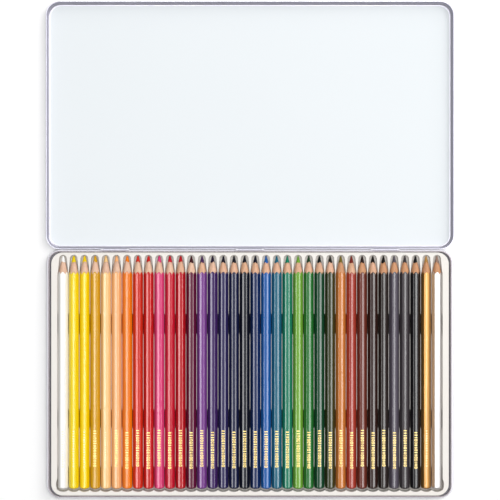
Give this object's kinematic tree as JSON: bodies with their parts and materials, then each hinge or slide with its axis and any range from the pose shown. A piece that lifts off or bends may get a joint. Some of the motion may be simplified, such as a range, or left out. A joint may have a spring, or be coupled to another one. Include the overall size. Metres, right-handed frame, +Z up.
{
  "type": "pencil tin",
  "caption": "Flat hinged tin, open, with a moulded insert that holds one row of hexagonal coloured pencils, points to the hinge.",
  "frame": {"origin": "centre of the base's flat underside, on the table", "axes": "+X right along the row of pencils, +Y from the base to the hinge and the open lid, +Z up"},
  "size_m": [0.3066, 0.3737, 0.01],
  "materials": {
    "tin_lacquer": "pale silver-white lacquer on tinplate, satin",
    "lid_lacquer": "white lacquer inside, pale silver outside, satin",
    "hinge_wire": "drawn wire",
    "insert_plastic": "cream moulded sheet, soft sheen",
    "cedar": "bare sharpened wood",
    "foil": "gold foil stamped on the paint",
    "silver_core": "grey metallic core",
    "pigment_white": "glossy lacquer over wood",
    "pigment_lemon_yellow": "glossy lacquer over wood",
    "pigment_cadmium_yellow": "glossy lacquer over wood",
    "pigment_ochre": "glossy lacquer over wood",
    "pigment_apricot": "glossy lacquer over wood",
    "pigment_peach": "glossy lacquer over wood",
    "pigment_orange": "glossy lacquer over wood",
    "pigment_vermilion": "glossy lacquer over wood",
    "pigment_red": "glossy lacquer over wood",
    "pigment_pink": "glossy lacquer over wood",
    "pigment_carmine": "glossy lacquer over wood",
    "pigment_crimson": "glossy lacquer over wood",
    "pigment_burgundy": "glossy lacquer over wood",
    "pigment_violet": "glossy lacquer over wood",
    "pigment_dark_violet": "glossy lacquer over wood",
    "pigment_indigo": "glossy lacquer over wood",
    "pigment_navy": "glossy lacquer over wood",
    "pigment_blue_black": "glossy lacquer over wood",
    "pigment_dark_blue": "glossy lacquer over wood",
    "pigment_mid_blue": "glossy lacquer over wood",
    "pigment_petrol_blue": "glossy lacquer over wood",
    "pigment_turquoise": "glossy lacquer over wood",
    "pigment_yellow_green": "glossy lacquer over wood",
    "pigment_mid_green": "glossy lacquer over wood",
    "pigment_dark_green": "glossy lacquer over wood",
    "pigment_olive": "glossy lacquer over wood",
    "pigment_light_brown": "glossy lacquer over wood",
    "pigment_brick_red": "glossy lacquer over wood",
    "pigment_red_brown": "glossy lacquer over wood",
    "pigment_umber": "glossy lacquer over wood",
    "pigment_sepia": "glossy lacquer over wood",
    "pigment_grey": "glossy lacquer over wood",
    "pigment_warm_grey": "glossy lacquer over wood",
    "pigment_black": "glossy lacquer over wood",
    "pigment_gold": "glossy lacquer over wood",
    "pigment_silver": "glossy lacquer over wood"
  },
  "bodies": {
    "base": {"tin_base": "tin_lacquer", "hinge_pins": "hinge_wire"},
    "lid": {"tin_lid": "lid_lacquer"},
    "insert": {"insert_tray": "insert_plastic"},
    "pencil_01_white": {"pencil_01_white": "pigment_white"},
    "pencil_02_lemon_yellow": {"pencil_02_lemon_yellow": "pigment_lemon_yellow"},
    "pencil_03_cadmium_yellow": {"pencil_03_cadmium_yellow": "pigment_cadmium_yellow"},
    "pencil_04_ochre": {"pencil_04_ochre": "pigment_ochre"},
    "pencil_05_apricot": {"pencil_05_apricot": "pigment_apricot"},
    "pencil_06_peach": {"pencil_06_peach": "pigment_peach"},
    "pencil_07_orange": {"pencil_07_orange": "pigment_orange"},
    "pencil_08_vermilion": {"pencil_08_vermilion": "pigment_vermilion"},
    "pencil_09_red": {"pencil_09_red": "pigment_red"},
    "pencil_10_pink": {"pencil_10_pink": "pigment_pink"},
    "pencil_11_carmine": {"pencil_11_carmine": "pigment_carmine"},
    "pencil_12_crimson": {"pencil_12_crimson": "pigment_crimson"},
    "pencil_13_burgundy": {"pencil_13_burgundy": "pigment_burgundy"},
    "pencil_14_violet": {"pencil_14_violet": "pigment_violet"},
    "pencil_15_dark_violet": {"pencil_15_dark_violet": "pigment_dark_violet"},
    "pencil_16_indigo": {"pencil_16_indigo": "pigment_indigo"},
    "pencil_17_navy": {"pencil_17_navy": "pigment_navy"},
    "pencil_18_blue_black": {"pencil_18_blue_black": "pigment_blue_black"},
    "pencil_19_dark_blue": {"pencil_19_dark_blue": "pigment_dark_blue"},
    "pencil_20_mid_blue": {"pencil_20_mid_blue": "pigment_mid_blue"},
    "pencil_21_petrol_blue": {"pencil_21_petrol_blue": "pigment_petrol_blue"},
    "pencil_22_turquoise": {"pencil_22_turquoise": "pigment_turquoise"},
    "pencil_23_yellow_green": {"pencil_23_yellow_green": "pigment_yellow_green"},
    "pencil_24_mid_green": {"pencil_24_mid_green": "pigment_mid_green"},
    "pencil_25_dark_green": {"pencil_25_dark_green": "pigment_dark_green"},
    "pencil_26_olive": {"pencil_26_olive": "pigment_olive"},
    "pencil_27_light_brown": {"pencil_27_light_brown": "pigment_light_brown"},
    "pencil_28_brick_red": {"pencil_28_brick_red": "pigment_brick_red"},
    "pencil_29_red_brown": {"pencil_29_red_brown": "pigment_red_brown"},
    "pencil_30_umber": {"pencil_30_umber": "pigment_umber"},
    "pencil_31_sepia": {"pencil_31_sepia": "pigment_sepia"},
    "pencil_32_grey": {"pencil_32_grey": "pigment_grey"},
    "pencil_33_warm_grey": {"pencil_33_warm_grey": "pigment_warm_grey"},
    "pencil_34_black": {"pencil_34_black": "pigment_black"},
    "pencil_35_gold": {"pencil_35_gold": "pigment_gold"},
    "pencil_36_silver": {"pencil_36_silver": "pigment_silver"}
  },
  "joints": [
    {"name": "lid_hinge", "type": "hinge", "parent": "base", "child": "lid", "pos_m": [0, 0.09355, 0.006], "axis": [-1, 0, 0], "range_deg": [-180, 0]},
    {"name": "insert_lift", "type": "slide", "parent": "base", "child": "insert", "axis": [0, 0, 1], "range_m": [0, 0.02]},
    {"name": "pencil_01_lift", "type": "slide", "parent": "insert", "child": "pencil_01_white", "axis": [0, 0, 1], "range_m": [0, 0.02]},
    {"name": "pencil_02_lift", "type": "slide", "parent": "insert", "child": "pencil_02_lemon_yellow", "axis": [0, 0, 1], "range_m": [0, 0.02]},
    {"name": "pencil_03_lift", "type": "slide", "parent": "insert", "child": "pencil_03_cadmium_yellow", "axis": [0, 0, 1], "range_m": [0, 0.02]},
    {"name": "pencil_04_lift", "type": "slide", "parent": "insert", "child": "pencil_04_ochre", "axis": [0, 0, 1], "range_m": [0, 0.02]},
    {"name": "pencil_05_lift", "type": "slide", "parent": "insert", "child": "pencil_05_apricot", "axis": [0, 0, 1], "range_m": [0, 0.02]},
    {"name": "pencil_06_lift", "type": "slide", "parent": "insert", "child": "pencil_06_peach", "axis": [0, 0, 1], "range_m": [0, 0.02]},
    {"name": "pencil_07_lift", "type": "slide", "parent": "insert", "child": "pencil_07_orange", "axis": [0, 0, 1], "range_m": [0, 0.02]},
    {"name": "pencil_08_lift", "type": "slide", "parent": "insert", "child": "pencil_08_vermilion", "axis": [0, 0, 1], "range_m": [0, 0.02]},
    {"name": "pencil_09_lift", "type": "slide", "parent": "insert", "child": "pencil_09_red", "axis": [0, 0, 1], "range_m": [0, 0.02]},
    {"name": "pencil_10_lift", "type": "slide", "parent": "insert", "child": "pencil_10_pink", "axis": [0, 0, 1], "range_m": [0, 0.02]},
    {"name": "pencil_11_lift", "type": "slide", "parent": "insert", "child": "pencil_11_carmine", "axis": [0, 0, 1], "range_m": [0, 0.02]},
    {"name": "pencil_12_lift", "type": "slide", "parent": "insert", "child": "pencil_12_crimson", "axis": [0, 0, 1], "range_m": [0, 0.02]},
    {"name": "pencil_13_lift", "type": "slide", "parent": "insert", "child": "pencil_13_burgundy", "axis": [0, 0, 1], "range_m": [0, 0.02]},
    {"name": "pencil_14_lift", "type": "slide", "parent": "insert", "child": "pencil_14_violet", "axis": [0, 0, 1], "range_m": [0, 0.02]},
    {"name": "pencil_15_lift", "type": "slide", "parent": "insert", "child": "pencil_15_dark_violet", "axis": [0, 0, 1], "range_m": [0, 0.02]},
    {"name": "pencil_16_lift", "type": "slide", "parent": "insert", "child": "pencil_16_indigo", "axis": [0, 0, 1], "range_m": [0, 0.02]},
    {"name": "pencil_17_lift", "type": "slide", "parent": "insert", "child": "pencil_17_navy", "axis": [0, 0, 1], "range_m": [0, 0.02]},
    {"name": "pencil_18_lift", "type": "slide", "parent": "insert", "child": "pencil_18_blue_black", "axis": [0, 0, 1], "range_m": [0, 0.02]},
    {"name": "pencil_19_lift", "type": "slide", "parent": "insert", "child": "pencil_19_dark_blue", "axis": [0, 0, 1], "range_m": [0, 0.02]},
    {"name": "pencil_20_lift", "type": "slide", "parent": "insert", "child": "pencil_20_mid_blue", "axis": [0, 0, 1], "range_m": [0, 0.02]},
    {"name": "pencil_21_lift", "type": "slide", "parent": "insert", "child": "pencil_21_petrol_blue", "axis": [0, 0, 1], "range_m": [0, 0.02]},
    {"name": "pencil_22_lift", "type": "slide", "parent": "insert", "child": "pencil_22_turquoise", "axis": [0, 0, 1], "range_m": [0, 0.02]},
    {"name": "pencil_23_lift", "type": "slide", "parent": "insert", "child": "pencil_23_yellow_green", "axis": [0, 0, 1], "range_m": [0, 0.02]},
    {"name": "pencil_24_lift", "type": "slide", "parent": "insert", "child": "pencil_24_mid_green", "axis": [0, 0, 1], "range_m": [0, 0.02]},
    {"name": "pencil_25_lift", "type": "slide", "parent": "insert", "child": "pencil_25_dark_green", "axis": [0, 0, 1], "range_m": [0, 0.02]},
    {"name": "pencil_26_lift", "type": "slide", "parent": "insert", "child": "pencil_26_olive", "axis": [0, 0, 1], "range_m": [0, 0.02]},
    {"name": "pencil_27_lift", "type": "slide", "parent": "insert", "child": "pencil_27_light_brown", "axis": [0, 0, 1], "range_m": [0, 0.02]},
    {"name": "pencil_28_lift", "type": "slide", "parent": "insert", "child": "pencil_28_brick_red", "axis": [0, 0, 1], "range_m": [0, 0.02]},
    {"name": "pencil_29_lift", "type": "slide", "parent": "insert", "child": "pencil_29_red_brown", "axis": [0, 0, 1], "range_m": [0, 0.02]},
    {"name": "pencil_30_lift", "type": "slide", "parent": "insert", "child": "pencil_30_umber", "axis": [0, 0, 1], "range_m": [0, 0.02]},
    {"name": "pencil_31_lift", "type": "slide", "parent": "insert", "child": "pencil_31_sepia", "axis": [0, 0, 1], "range_m": [0, 0.02]},
    {"name": "pencil_32_lift", "type": "slide", "parent": "insert", "child": "pencil_32_grey", "axis": [0, 0, 1], "range_m": [0, 0.02]},
    {"name": "pencil_33_lift", "type": "slide", "parent": "insert", "child": "pencil_33_warm_grey", "axis": [0, 0, 1], "range_m": [0, 0.02]},
    {"name": "pencil_34_lift", "type": "slide", "parent": "insert", "child": "pencil_34_black", "axis": [0, 0, 1], "range_m": [0, 0.02]},
    {"name": "pencil_35_lift", "type": "slide", "parent": "insert", "child": "pencil_35_gold", "axis": [0, 0, 1], "range_m": [0, 0.02]},
    {"name": "pencil_36_lift", "type": "slide", "parent": "insert", "child": "pencil_36_silver", "axis": [0, 0, 1], "range_m": [0, 0.02]}
  ]
}
